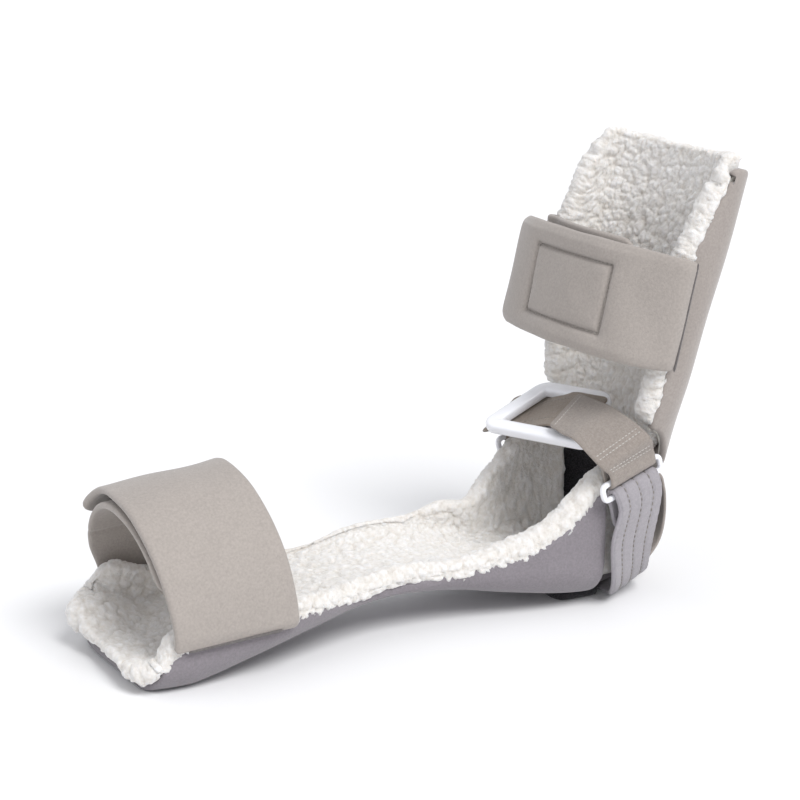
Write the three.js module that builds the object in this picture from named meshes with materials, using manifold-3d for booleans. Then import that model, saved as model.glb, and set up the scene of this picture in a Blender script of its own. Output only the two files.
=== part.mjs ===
// Ankle foot orthosis: a padded L-shaped splint with a fleece liner, three strap closures
// and a heel stirrup. Millimetres, +Z up, +X towards the toes, +Y towards the side where
// the closing straps are sewn on. The splint stands on z = 0. It is drawn with x = 0 at the
// heel's back; the finished frame's origin is under the middle of the heel's sole pad.
import * as THREE from 'three';
import { mergeVertices } from 'three/addons/utils/BufferGeometryUtils.js';
import Module from 'manifold-3d';

const wasm = await Module();
wasm.setup();

// ---------------------------------------------------------------- driving dimensions
const PAD_X = 55;                                 // middle of the heel's sole pad
const LEAN = THREE.MathUtils.degToRad(12.6);      // the calf section leans back
const CALF_FOOT = new THREE.Vector3(24.6, 0, 80); // calf axis at the ankle
const CALF_TOP = 159;                             // cover height, measured up the calf axis
const CALF_LOW = -9;                              // lower edge at the back of the calf
const CALF_LOW_SIDE = 16;                         // lower edge at the rims
const LINER_TOP = 165.5;
const FOOT_REAR = 13;
const FOOT_FRONT = 311;
const EAR_X = 48;                                 // rear edge of the foot section's walls
const GAP = 0.35;                                 // between neighbouring pieces
const COVER = 1.8;
const STAY = 2;
const SHELL = 1.8;
const STAY_HALF_WIDTH = 13;
const LINER = 9.5;
const STRAP = 4;                                  // padded strap thickness
const WEBBING = 1.4;
const WEBBING_WIDTH = 32;
const BAR = 3;                                    // ring bar, square with rounded edges

const shellOuter = COVER + 2 * GAP;
const ridge = STAY + 2.6 * GAP;                   // how far the shell rises over the stay
const shellInner = shellOuter + SHELL;
const hookOuter = shellInner + 2 * GAP;
const HOOK = 0.7;
const linerOuter = hookOuter + HOOK + GAP;

const fabric = { color: 0xa39c94, roughness: 0.9, metalness: 0 };
const darkFabric = { color: 0x8c8580, roughness: 0.9, metalness: 0 };
const plastic = { color: 0xe6e6ec, roughness: 0.3, metalness: 0 };
const innerPlastic = { color: 0xd8d4cc, roughness: 0.5, metalness: 0 };
const metal = { color: 0xb9bcc0, roughness: 0.35, metalness: 0.9 };
const fleece = { color: 0xefebe2, roughness: 1, metalness: 0 };
const webbing = { color: 0xb1a79e, roughness: 0.8, metalness: 0 };
const hook = { color: 0x34323a, roughness: 1, metalness: 0 };
const foam = { color: 0x2b2a30, roughness: 1, metalness: 0 };

// ---------------------------------------------------------------- helpers
const group = new THREE.Group();

// The bare closed mesh: shared corners, no texture coordinates.
function bare(geometry) {
  const copy = geometry.clone();
  copy.deleteAttribute('uv');
  copy.deleteAttribute('normal');
  return mergeVertices(copy, 1e-4);
}

function add(name, geometry, look) {
  const solid = bare(geometry).translate(-PAD_X, 0, 0);
  solid.computeVertexNormals();
  const mesh = new THREE.Mesh(solid, new THREE.MeshStandardMaterial(look));
  mesh.name = name;
  group.add(mesh);
  return mesh;
}

const vec = (x, y, z) => new THREE.Vector3(x, y, z);
const mix = THREE.MathUtils.lerp;
const smooth = THREE.MathUtils.smoothstep;

// A smooth curve through [position, value] stations, flat at both ends.
function along(stations) {
  const slope = stations.map((here, i) => {
    const before = stations[Math.max(i - 1, 0)];
    const after = stations[Math.min(i + 1, stations.length - 1)];
    const inside = i > 0 && i < stations.length - 1;
    return inside ? (after[1] - before[1]) / (after[0] - before[0]) : 0;
  });
  return (x) => {
    if (x <= stations[0][0]) return stations[0][1];
    const i = stations.findIndex((station) => station[0] >= x);
    if (i < 0) return stations[stations.length - 1][1];
    const [x0, y0] = stations[i - 1];
    const [x1, y1] = stations[i];
    const span = x1 - x0;
    const t = (x - x0) / span;
    const a = y0 * (1 + 2 * t) * (1 - t) ** 2 + y1 * t * t * (3 - 2 * t);
    return a + span * (slope[i - 1] * t * (1 - t) ** 2 - slope[i] * t * t * (1 - t));
  };
}

function signedVolume(geometry) {
  const point = geometry.getAttribute('position');
  const index = geometry.getIndex();
  const corner = [vec(), vec(), vec()];
  let sum = 0;
  for (let i = 0; i < index.count; i += 3) {
    corner.forEach((c, k) => c.fromBufferAttribute(point, index.getX(i + k)));
    sum += corner[0].dot(corner[1].clone().cross(corner[2]));
  }
  return sum;
}

function faceOut(geometry) {
  const solid = bare(geometry);
  if (signedVolume(solid) < 0) solid.getIndex().array.reverse();
  return solid;
}

// A closed sheet of material: a subdivided slab whose two faces are carried to
// outer(u, v) and inner(u, v).
function sheet(outer, inner, nu, nv) {
  const slab = new THREE.BoxGeometry(1, 1, 1, nu, nv, 1);
  const corner = slab.getAttribute('position');
  for (let i = 0; i < corner.count; i += 1) {
    const face = corner.getZ(i) > 0 ? outer : inner;
    const point = face(corner.getX(i) + 0.5, corner.getY(i) + 0.5);
    corner.setXYZ(i, point.x, point.y, point.z);
  }
  return faceOut(slab);
}

function normalAt(surface, u, v) {
  const e = 1e-3;
  const du = surface(Math.min(u + e, 1), v).sub(surface(Math.max(u - e, 0), v));
  const dv = surface(u, Math.min(v + e, 1)).sub(surface(u, Math.max(v - e, 0)));
  return du.cross(dv).normalize();
}

// The surface moved along its own normal.
const offset = (surface, distance) => (u, v) => surface(u, v)
  .addScaledVector(normalAt(surface, u, v), distance);

// A strap or plate of the given thickness, centred on a surface or starting from it.
const centred = (surface, thickness, nu, nv) => (
  sheet(offset(surface, thickness / 2), offset(surface, -thickness / 2), nu, nv));

// The part of a surface between u0..u1 and v0..v1.
const patch = (surface, u0, u1, v0, v1) => (u, v) => surface(mix(u0, u1, u), mix(v0, v1, v));

function toManifold(geometry) {
  const solid = bare(geometry);
  return new wasm.Manifold(new wasm.Mesh({
    numProp: 3,
    vertProperties: new Float32Array(solid.getAttribute('position').array),
    triVerts: new Uint32Array(solid.getIndex().array),
  }));
}

function subtract(geometry, tools) {
  let body = toManifold(geometry);
  for (const tool of tools) body = body.subtract(toManifold(tool));
  const mesh = body.getMesh();
  const result = new THREE.BufferGeometry();
  result.setAttribute('position', new THREE.BufferAttribute(mesh.vertProperties, 3));
  result.setIndex(new THREE.BufferAttribute(mesh.triVerts, 1));
  return result;
}

// Places a geometry drawn in its own x, y, z at origin, with x and y along two directions.
function place(geometry, origin, xAxis, yAxis) {
  const zAxis = xAxis.clone().cross(yAxis).normalize();
  const basis = new THREE.Matrix4().makeBasis(xAxis, yAxis, zAxis).setPosition(origin);
  return geometry.applyMatrix4(basis);
}

function roundedOutline(corners, radius, Kind = THREE.Shape) {
  const outline = new Kind();
  corners.forEach((corner, i) => {
    const before = corners[(i + corners.length - 1) % corners.length];
    const after = corners[(i + 1) % corners.length];
    const towards = (other) => corner.clone().lerp(other, radius / corner.distanceTo(other));
    const start = towards(before);
    const end = towards(after);
    if (i === 0) outline.moveTo(start.x, start.y);
    else outline.lineTo(start.x, start.y);
    outline.quadraticCurveTo(corner.x, corner.y, end.x, end.y);
  });
  outline.closePath();
  return outline;
}

const rectangle = (x, y) => [[x, y], [-x, y], [-x, -y], [x, -y]]
  .map(([a, b]) => new THREE.Vector2(a / 2, b / 2));

// A flat loop of rounded bar, lying in x and y about its own centre.
function loop(outer, inner, radius, thickness, bevel) {
  const shape = roundedOutline(outer, radius);
  shape.holes.push(roundedOutline(inner.slice().reverse(), radius * 0.45, THREE.Path));
  const options = {
    depth: thickness - 2 * bevel,
    bevelThickness: bevel,
    bevelSize: bevel,
    bevelOffset: -bevel,
    bevelSegments: 1,
    curveSegments: 4,
  };
  return new THREE.ExtrudeGeometry(shape, options).translate(0, 0, bevel - thickness / 2);
}

// ---------------------------------------------------------------- layers of the splint
// A layer's face is given by how far it lies inside the outer face of the cover: at the
// sides, and across the back or sole, where the shell and liner rise over the stay.
const plain = (inset) => ({ side: () => inset, base: () => inset });
const overStay = (inset) => ({
  side: () => inset,
  base: (y) => inset + ridge * (1 - smooth(Math.abs(y), STAY_HALF_WIDTH + 5, 30)),
});

// ---------------------------------------------------------------- calf section
const up = vec(-Math.sin(LEAN), 0, Math.cos(LEAN));
const forward = vec(Math.cos(LEAN), 0, Math.sin(LEAN));
const calfHalfWidth = along([[-10, 45], [49, 54], [108, 60], [170, 62.5]]);
const calfDepth = along([[-10, 31], [35, 28], [85, 27], [170, 29.5]]);
const calfRim = along([[0, 5], [49, 8], [102, 14], [130, 8.5], [162, 1]]);
const ROUND_SHARE = 0.86;                         // of the section; the rest is rim

const calfPoint = (height, ahead, y) => CALF_FOOT.clone()
  .addScaledVector(up, height).addScaledVector(forward, ahead).add(vec(0, y, 0));

// Trough section: a half ellipse round the back, then straight to both rims.
function calfSection(height, across, face, beyond) {
  const reach = Math.abs(across);
  const angle = Math.min(reach / ROUND_SHARE, 1) * Math.PI / 2;
  const half = calfHalfWidth(height) - face.side(height);
  const y = Math.sign(across) * half * Math.sin(angle);
  const depth = calfDepth(height) - face.base(y);
  const past = Math.max(reach - ROUND_SHARE, 0) / (1 - ROUND_SHARE);
  return calfPoint(height, (calfRim(height) + beyond) * past - depth * Math.cos(angle), y);
}

// The lower edge sweeps up towards the rims; the upper corners are rounded off.
function calfFace(face, { top, low = CALF_LOW, side = CALF_LOW_SIDE, beyond = 0, corner = 18 }) {
  return (u, v) => {
    const across = 2 * v - 1;
    const reach = Math.abs(across);
    const lower = mix(low, side, smooth(reach, 0.25, 0.9));
    const past = smooth(reach, 0.75, 1);
    const upper = top - corner * (1 - Math.sqrt(1 - 0.96 * past ** 2));
    return calfSection(mix(lower, upper, u), across, face, beyond);
  };
}

const calfLayer = (outer, inner, shape) => (
  sheet(calfFace(outer, shape), calfFace(inner, shape), 10, 18));

// ---------------------------------------------------------------- foot section
const soleHeight = along([[14, 8.6], [28, 6.1], [42, 5.4], [56, 5.4], [72, 7.2], [98, 12], [138, 19],
  [165, 21], [193, 19], [218, 15.3], [240, 11], [260, 6.4], [276, 2.4], [290, 0]]);
const footHalfWidth = along([[9, 34], [30, 40], [50, 44], [72, 43], [95, 39], [125, 33.5],
  [160, 31.5], [190, 35], [215, 42], [240, 47.5], [265, 49], [296, 49], [311, 47]]);
const wallTop = along([[48, 69], [58, 62], [72, 48], [92, 37], [115, 32],
  [150, 28], [190, 27.5], [215, 29.5], [240, 29], [265, 27], [290, 25], [301, 17.5], [311, 9]]);
const footCorner = along([[9, 12], [48, 20], [75, 19], [115, 12], [160, 9], [240, 15], [311, 15]]);
const SOLE_SHARE = 0.5;
const CORNER_SHARE = 0.3;

// Trough section in y and z: flat sole, rounded corner, then a wall up to the rim.
function footSection(x, across, face, beyond) {
  const reach = Math.abs(across);
  const radius = Math.max(footCorner(x) - face.side(x), 3);
  const sole = footHalfWidth(x) - face.side(x) - radius;
  const rise = Math.max(wallTop(x) + beyond - soleHeight(x) - face.base(100), 1.6);
  const turn = Math.acos(1 - Math.min((rise - 0.8) / radius, 1));
  const angle = turn * THREE.MathUtils.clamp((reach - SOLE_SHARE) / CORNER_SHARE, 0, 1);
  const wallShare = Math.max(reach - SOLE_SHARE - CORNER_SHARE, 0)
    / (1 - SOLE_SHARE - CORNER_SHARE);
  const climb = (rise - radius * (1 - Math.cos(turn))) * wallShare;
  const y = sole * Math.min(reach / SOLE_SHARE, 1) + radius * Math.sin(angle);
  const z = soleHeight(x) + face.base(y) + radius * (1 - Math.cos(angle)) + climb;
  return vec(x, Math.sign(across) * y, z);
}

// Behind the ears the walls are cut down to a heel tongue that carries the stay.
function footFace(face, { rear, wallRear = rear, front = FOOT_FRONT, beyond = 0, lift = () => 0 }) {
  return (u, v) => {
    const across = 1 - 2 * v;
    const reach = Math.abs(across);
    const start = mix(rear, wallRear, smooth(reach, 0.3, 0.5));
    const end = front - 10 * smooth(reach, 0.45, 1);
    const point = footSection(mix(start, end, u), across, face, beyond);
    return point.setZ(point.z + lift(point.x, point.y));
  };
}

const footLayer = (outer, inner, shape) => (
  sheet(footFace(outer, shape), footFace(inner, shape), 22, 16));

// ---------------------------------------------------------------- stay and heel sleeve
const heelPath = new THREE.CatmullRomCurve3([
  ...[112, 60, 20, 0, -9].map((h) => calfPoint(h, -calfDepth(h), 0)),
  vec(-7.2, 0, 50), vec(-7.8, 0, 36), vec(-4.8, 0, 23), vec(4, 0, 13), vec(15, 0, soleHeight(15)),
  ...[45, 75, 100, 125, 150, 175, 200, 225, 240].map((x) => vec(x, 0, soleHeight(x))),
]);
const pathShare = (index) => index / 18;

// Follows the middle of the back and sole; the calf end is dished to match the trough.
function spineFace(halfWidth, inset) {
  const middle = (u, v) => {
    const y = (1 - 2 * v) * halfWidth;
    const dish = 0.0082 * (1 - smooth(u, pathShare(4), pathShare(5.5)));
    return heelPath.getPoint(u).add(vec(dish * y * y, y, 0));
  };
  return offset(middle, -inset);
}

// ---------------------------------------------------------------- straps
// A band of given width about a path; a station is a centre and the direction across.
function band(stations, width) {
  const centres = new THREE.CatmullRomCurve3(stations.map((s) => s[0]), false, 'centripetal');
  const crosses = new THREE.CatmullRomCurve3(stations.map((s) => s[1]));
  return (u, v) => centres.getPoint(u)
    .addScaledVector(crosses.getPoint(u).normalize(), (v - 0.5) * width);
}

// A band stretched between two edge curves with the same number of points.
function ruled(edgeA, edgeB) {
  const a = new THREE.CatmullRomCurve3(edgeA);
  const b = new THREE.CatmullRomCurve3(edgeB);
  return (u, v) => a.getPoint(u).lerp(b.getPoint(u), v);
}

const mirrored = (v) => vec(v.x, -v.y, v.z);

// ================================================================ calf and foot sections
const holeAt = (centre, axis, radius) => {
  const drill = new THREE.CylinderGeometry(radius, radius, 16, 12);
  const turn = new THREE.Quaternion().setFromUnitVectors(vec(0, 1, 0), axis);
  return drill.applyQuaternion(turn).translate(centre.x, centre.y, centre.z);
};

const spineMiddle = spineFace(STAY_HALF_WIDTH, 0);
const rivetSites = [['calf_upper', 0.55], ['calf_lower', 2.3], ['foot_rear', 10.4],
  ['foot_front', 16.8]].map(([name, index]) => {
  const u = pathShare(index);
  return { name, centre: spineMiddle(u, 0.5), inward: normalAt(spineMiddle, u, 0.5).negate() };
});
const drills = rivetSites.map((site) => holeAt(site.centre, site.inward, 2.5));

add('calf_cover', calfLayer(plain(0), plain(COVER), { top: CALF_TOP }), fabric);
const calfShell = calfLayer(overStay(shellOuter), overStay(shellInner),
  { top: CALF_TOP - 2, beyond: -1 });
add('calf_shell', subtract(calfShell, drills.slice(0, 2)), innerPlastic);

add('foot_cover', footLayer(plain(0), plain(COVER),
  { rear: FOOT_REAR, wallRear: EAR_X }), darkFabric);
const footShell = footLayer(overStay(shellOuter), overStay(shellInner),
  { rear: FOOT_REAR + 4, wallRear: EAR_X + 1, front: FOOT_FRONT - 9, beyond: -1.5 });
add('foot_shell', subtract(footShell, drills.slice(2)), innerPlastic);

const stay = sheet(spineFace(STAY_HALF_WIDTH, shellOuter),
  spineFace(STAY_HALF_WIDTH, shellOuter + STAY), 40, 2);
add('spine_stay', subtract(stay, drills), metal);

for (const site of rivetSites) {
  const head = shellInner + ridge + 0.45;
  const profile = [[0, shellOuter + 0.05], [2.1, shellOuter + 0.05], [2.1, head], [4.6, head],
    [3.6, head + 0.6], [0, head + 0.7]].map(([r, h]) => new THREE.Vector2(r, h));
  const rivet = faceOut(new THREE.LatheGeometry(profile, 12));
  const turn = new THREE.Quaternion().setFromUnitVectors(vec(0, 1, 0), site.inward);
  rivet.applyQuaternion(turn).translate(site.centre.x, site.centre.y, site.centre.z);
  add(`rivet_${site.name}`, rivet, metal);
}

add('heel_sleeve', sheet(patch(spineFace(20, 0), pathShare(4.12), pathShare(8.7), 0, 1),
  patch(spineFace(20, COVER), pathShare(4.12), pathShare(8.7), 0, 1), 14, 4), fabric);

const sole = new THREE.ExtrudeGeometry(roundedOutline(rectangle(28, 50), 8),
  { depth: 4.7, bevelEnabled: false, curveSegments: 4 }).translate(PAD_X - 5, 0, 0);
add('heel_sole_pad', sole, foam);

const padPlan = [vec(31, 37, 0), vec(20, 33, 0), vec(9, 25, 0), vec(2.8, 13, 0), vec(0.5, 0, 0)];
const padPath = [...padPlan, ...padPlan.slice(0, -1).reverse().map(mirrored)];
const padFace = ruled(padPath.map((p) => p.clone().setZ(27)),
  padPath.map((p) => vec(p.x * 0.84 + 4, p.y, 61)));
add('heel_pad', centred(padFace, 3, 14, 2), foam);

// ================================================================ liner and its hook strips
for (const [side, v0, v1] of [['near', 0.74, 0.87], ['far', 0.13, 0.26]]) {
  const calfStrip = (inset) => patch(calfFace(plain(inset), { top: CALF_TOP }), 0.2, 0.9, v0, v1);
  add(`calf_hook_strip_${side}`, sheet(calfStrip(hookOuter), calfStrip(hookOuter + HOOK), 9, 3),
    hook);
  const [w0, w1] = [1 - v1, 1 - v0];
  const footStrip = (inset) => patch(footFace(plain(inset), { rear: EAR_X }), 0.68, 0.88, w0, w1);
  add(`foot_hook_strip_${side}`, sheet(footStrip(hookOuter), footStrip(hookOuter + HOOK), 6, 3),
    hook);
}

const calfLiner = { top: LINER_TOP, low: CALF_LOW + 6, side: CALF_LOW_SIDE + 3, beyond: 5 };
add('calf_liner', calfLayer(overStay(linerOuter), plain(linerOuter + LINER), calfLiner), fleece);

// The liner lies flat over the low waist and stands up against the high walls.
const liningWall = (x) => smooth(wallTop(x) - soleHeight(x), 9, 24);
const linerInside = {
  side: (x) => linerOuter + LINER * liningWall(x),
  base: () => linerOuter + LINER,
};
// On the far side it rises over the waist and at the toe end.
const linerLift = (x, y) => smooth(-y, 8, 34) * (13 * smooth(x, 272, 306)
  + 11 * smooth(x, 84, 110) * (1 - smooth(x, 150, 200)));
add('foot_liner', footLayer(overStay(linerOuter), linerInside,
  { rear: 50, wallRear: 27, front: 319, beyond: 6, lift: linerLift }), fleece);

// ================================================================ padded strap closures
const paddedStrap = (edges, thickness = STRAP) => centred(ruled(...edges), thickness, 24, 2);

// Calf straps: each is sewn to the outside of one wall and crosses the front.
const CALF_STRAP_LOW = 49;
const CALF_STRAP_HIGH = 109;
const calfStations = (height, side, middle) => {
  const rim = calfRim(height);
  const wall = calfHalfWidth(height) + STRAP / 2 + 3 * GAP;
  return [[rim - 2, wall], [rim + 2, wall], [rim + 7, wall - 1.5], ...middle]
    .map(([ahead, y]) => calfPoint(height, ahead, side * y));
};
const calfStrapFront = [[30, 47], [39, 30], [43, 8], [43, -14], [40.5, -36], [36, -54], [29, -68]];
const calfUnderFront = [[24, 46], [31.5, 31], [36, 12], [37, -8], [35, -24], [31.5, -36]];
const calfStrapEdges = [CALF_STRAP_LOW, CALF_STRAP_HIGH]
  .map((height) => calfStations(height, 1, calfStrapFront));
const calfUnderEdges = [CALF_STRAP_LOW + 3, CALF_STRAP_HIGH + 3]
  .map((height) => calfStations(height, -1, calfUnderFront));
add('calf_strap', paddedStrap(calfStrapEdges), fabric);
add('calf_under_strap', paddedStrap(calfUnderEdges, STRAP - 0.6), fabric);

// Forefoot straps: an arch over the toes, one layer from each wall.
const TOE_STRAP_REAR = 232;
const TOE_STRAP_FRONT = 296;
const TOE_STRAP_TILT = 13;                        // the arch leans towards the toes
const TOE_STRAP_TAPER = 0.09;                     // and gets lower towards them
const archPoint = (x, turn, halfWidth, height) => vec(
  x + TOE_STRAP_TILT * Math.sin(turn) ** 0.8,
  halfWidth * Math.cos(turn),
  28 + (height - TOE_STRAP_TAPER * (x - TOE_STRAP_REAR)) * Math.sin(turn),
);
const toeWall = 49 + STRAP / 2 + GAP;
const quarter = Math.PI / 2;
const toeSeam = (x) => mix(25, 21.5, (x - TOE_STRAP_REAR) / (TOE_STRAP_FRONT - TOE_STRAP_REAR));
const toeTuck = (x) => 10 * (TOE_STRAP_FRONT - x) / (TOE_STRAP_FRONT - TOE_STRAP_REAR);
const toeStrapPath = (x) => [
  vec(x + toeTuck(x), toeWall, toeSeam(x)), ...[0, 0.25, 0.5, 0.75, 1].map((share, i) => (
    archPoint(x + toeTuck(x) * [0.7, 0.1, 0, 0, 0][i], share * quarter, toeWall, 64.5))),
  ...[[-22, 90], [-38, 81], [-50, 70.5]].map(([y, z]) => (
    vec(x + TOE_STRAP_TILT - 2, y, z - TOE_STRAP_TAPER * (x - TOE_STRAP_REAR)))),
];
const toeUnderPath = (x) => [
  vec(x + 5, -toeWall, toeSeam(x)), ...[2, 1.75, 1.5, 1.25, 1, 0.75, 0.5, 0.25].map((share) => (
    archPoint(x, share * quarter, share > 1 ? toeWall : toeWall - 5.5, 58.5))),
];
const toeEdges = (path) => [path(TOE_STRAP_REAR), path(TOE_STRAP_FRONT)];
add('forefoot_strap', paddedStrap(toeEdges(toeStrapPath)), fabric);
add('forefoot_under_strap', paddedStrap(toeEdges(toeUnderPath), STRAP - 0.6), fabric);

// Hook patches on the inner faces of the two closing straps.
const hookPatch = (edges, u0, u1, side) => {
  const face = offset(ruled(...edges), side * (STRAP / 2 + GAP + 0.3));
  return centred(patch(face, u0, u1, 0.14, 0.86), 0.6, 6, 2);
};
add('calf_strap_hook', hookPatch(calfStrapEdges, 0.66, 0.88, 1), hook);
add('forefoot_strap_hook', hookPatch(toeEdges(toeStrapPath), 0.62, 0.8, -1), hook);

// ================================================================ stirrup, rings, instep closure
const ringFront = vec(51.5, 50, 63.5);
const ringRear = vec(20, 46, 72.8);
const ringMiddle = ringFront.clone().lerp(ringRear, 0.5);
const ringAlong = ringRear.clone().sub(ringFront).normalize();
const ringUp = vec(0.2, 0, 1).addScaledVector(ringAlong, -vec(0.2, 0, 1).dot(ringAlong)).normalize();
const ringOut = ringAlong.clone().cross(ringUp).normalize();
const RING_PITCH = 8.5;                           // between the middles of its two bars
const RING_LENGTH = WEBBING_WIDTH + 12;
const eyeRadius = BAR / 2 + GAP + WEBBING / 2;

const ringShape = () => loop(rectangle(RING_LENGTH, RING_PITCH + BAR),
  rectangle(RING_LENGTH - 2 * BAR, RING_PITCH - BAR), 4, BAR, 0.8);
const upperBar = ringMiddle.clone().addScaledVector(ringUp, RING_PITCH);
const ringCentre = ringMiddle.clone().addScaledVector(ringUp, RING_PITCH / 2);
const nearRing = place(ringShape(), ringCentre, ringAlong, ringUp);
add('ankle_ring_near', nearRing, plastic);
add('ankle_ring_far', faceOut(nearRing.clone().scale(1, -1, 1)), plastic);

// Stirrup: from over one ring's lower bar, down, under the heel and up to the other ring.
const BAND = 3;                                   // quilted stirrup thickness
const stirrupEye = BAR / 2 + GAP + BAND / 2;
const atRing = (point, rise, out) => point.clone()
  .addScaledVector(ringUp, rise).addScaledVector(ringOut, out);
const stirrupFront = [[53, 51.5, 38], [48.5, 47.5, 17], [42, 39.5, 7.2], [35, 29, 2.6],
  [33, 0, 2.6]].map((p) => vec(...p));
const stirrupRear = [[16.5, 45.8, 40], [13, 37.5, 24], [10, 30, 14.5], [7.5, 18, 8.2],
  [6, 0, 7.6]].map((p) => vec(...p));
function stirrupEdge(share, below) {
  const bar = ringMiddle.clone().addScaledVector(ringAlong, (share - 0.5) * (RING_LENGTH - 9));
  const round = [-90, -45, 0, 45, 90].map((deg) => {
    const turn = THREE.MathUtils.degToRad(deg);
    return atRing(bar, stirrupEye * Math.cos(turn), stirrupEye * Math.sin(turn));
  });
  const near = [
    atRing(bar, -20, -stirrupEye), atRing(bar, -8, -stirrupEye), ...round,
    atRing(bar, -8, stirrupEye + 0.2), ...below,
  ];
  return [...near, ...near.slice(0, -1).reverse().map(mirrored)];
}
const stirrupEdges = [stirrupEdge(0, stirrupFront), stirrupEdge(1, stirrupRear)];
add('heel_stirrup', centred(ruled(...stirrupEdges), BAND, 56, 2), fabric);

// Instep slide: a keystone frame lying over the instep.
const slideCentre = vec(51, -3, 96.5);
const slideAlong = vec(-0.402, 0.915, 0.018).normalize();   // from the far strap to the near
const slideUp = vec(0.35, 0.135, 0.927);
slideUp.addScaledVector(slideAlong, -slideUp.dot(slideAlong)).normalize();
const slideAcross = slideUp.clone().cross(slideAlong);
const SLIDE_TOE_SIDE = 72;
const SLIDE_HEEL_SIDE = 47;
const SLIDE_DEPTH = 47;
const SLIDE_BAR = 6.5;
const keystone = (inset) => [[SLIDE_HEEL_SIDE / 2 - inset * 1.25, SLIDE_DEPTH / 2 - inset],
  [-SLIDE_HEEL_SIDE / 2 + inset * 1.25, SLIDE_DEPTH / 2 - inset],
  [-SLIDE_TOE_SIDE / 2 + inset * 1.5, -SLIDE_DEPTH / 2 + inset],
  [SLIDE_TOE_SIDE / 2 - inset * 1.5, -SLIDE_DEPTH / 2 + inset]]
  .map(([x, y]) => new THREE.Vector2(x, y));
const slide = place(loop(keystone(0), keystone(SLIDE_BAR), 9, 5, 1.6), slideCentre,
  slideAlong, slideAcross);
add('instep_slide', slide, plastic);

// Instep straps: each is looped through its ring's upper bar and runs to the slide.
const FOLD = 12;                                  // of webbing turned back inside each ring
const onSlide = (run, rise, across = 0) => slideCentre.clone().addScaledVector(slideAlong, run)
  .addScaledVector(slideUp, rise).addScaledVector(slideAcross, across);
const eyeStations = (foldRise) => {
  const round = [-90, -45, 0, 45, 90].map((deg) => {
    const turn = THREE.MathUtils.degToRad(deg);
    return atRing(upperBar, -eyeRadius * Math.cos(turn), eyeRadius * Math.sin(turn));
  });
  return [atRing(upperBar, foldRise, -eyeRadius), atRing(upperBar, foldRise / 2, -eyeRadius),
    ...round, atRing(upperBar, foldRise / 2, eyeRadius)];
};
const nearStrap = [
  ...eyeStations(FOLD).map((centre) => [centre, ringAlong]),
  [vec(46, 53, 89.5), vec(-0.883, 0.07, 0.461)],
  [vec(51.5, 32.5, 99.8), vec(-0.919, -0.148, 0.369)],
  [onSlide(21, 7.4, -8.5), vec(-0.87, -0.27, 0.39)],
  [onSlide(14, 7.2, -6), slideAcross], [onSlide(8, 6.6, -3.5), slideAcross],
];
const nearBand = band(nearStrap, WEBBING_WIDTH);
add('instep_strap_near', centred(nearBand, WEBBING, 36, 2), webbing);
const underNear = offset(patch(nearBand, 0.915, 0.985, 0.1, 0.9), WEBBING / 2 + GAP + 0.25);
add('instep_hook', centred(underNear, 0.5, 6, 2), hook);

const farStrap = [
  ...eyeStations(FOLD).map((centre) => [mirrored(centre), mirrored(ringAlong)]),
  [vec(52, -48, 86), vec(-0.8, 0.1, 0.58)],
  [onSlide(-38, -7.5), slideAcross],
  [onSlide(-27, -4.9), slideAcross], [onSlide(-17, -4.3), slideAcross],
  [onSlide(-7, -0.5), slideAcross], [onSlide(3, 2.9), slideAcross],
  [onSlide(13, 4.1), slideAcross], [onSlide(25, 4.2), slideAcross],
];
add('instep_strap_far', centred(band(farStrap, WEBBING_WIDTH), WEBBING, 36, 2), webbing);

export default group;
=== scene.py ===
"""Looks of the ankle foot orthosis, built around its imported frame.

Shapes are worked out in millimetres, with x = 0 at the heel's back, from the same driving
dimensions as the solids. They are placed in the row frame, in metres, as they are made.
"""

import itertools
import math

import bpy
import numpy as np
from mathutils import Matrix, Vector


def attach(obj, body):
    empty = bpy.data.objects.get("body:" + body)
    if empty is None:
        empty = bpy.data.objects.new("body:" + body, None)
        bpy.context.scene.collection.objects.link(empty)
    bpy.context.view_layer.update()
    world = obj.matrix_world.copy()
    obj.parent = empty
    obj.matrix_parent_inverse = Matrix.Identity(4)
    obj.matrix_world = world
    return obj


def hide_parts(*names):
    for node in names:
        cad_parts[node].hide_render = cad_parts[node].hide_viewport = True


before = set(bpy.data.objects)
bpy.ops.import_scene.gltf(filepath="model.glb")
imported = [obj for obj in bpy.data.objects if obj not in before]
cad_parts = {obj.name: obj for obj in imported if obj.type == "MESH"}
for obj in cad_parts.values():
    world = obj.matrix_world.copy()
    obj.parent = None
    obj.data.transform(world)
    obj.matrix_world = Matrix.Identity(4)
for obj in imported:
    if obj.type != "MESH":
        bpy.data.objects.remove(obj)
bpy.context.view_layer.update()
MM = 0.001
PAD_X = 55.0                     # the row frame's origin is under the middle of the sole pad


# ---- driving dimensions
LEAN = math.radians(12.6)
CALF_FOOT = np.array([24.6, 0, 80])
CALF_TOP = 159
CALF_LOW = -9
CALF_LOW_SIDE = 16
LINER_TOP = 165.5
FOOT_REAR = 13
FOOT_FRONT = 311
EAR_X = 48
COVER_DEPTH = 4.8                # cover and shell together
LINER_OUTER = 6.05
LINER = 9.5
RIDGE = 2.9
STAY_HALF_WIDTH = 13
STRAP = 4
WEBBING = 1.4
WEBBING_WIDTH = 32
ROUND_SHARE = 0.86
SOLE_SHARE = 0.5
CORNER_SHARE = 0.3


def unit(v):
    v = np.asarray(v, float)
    return v / np.maximum(np.linalg.norm(v, axis=-1, keepdims=True), 1e-9)


def smooth(x, low, high):
    t = np.clip((np.asarray(x, float) - low) / (high - low), 0, 1)
    return t * t * (3 - 2 * t)


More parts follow.
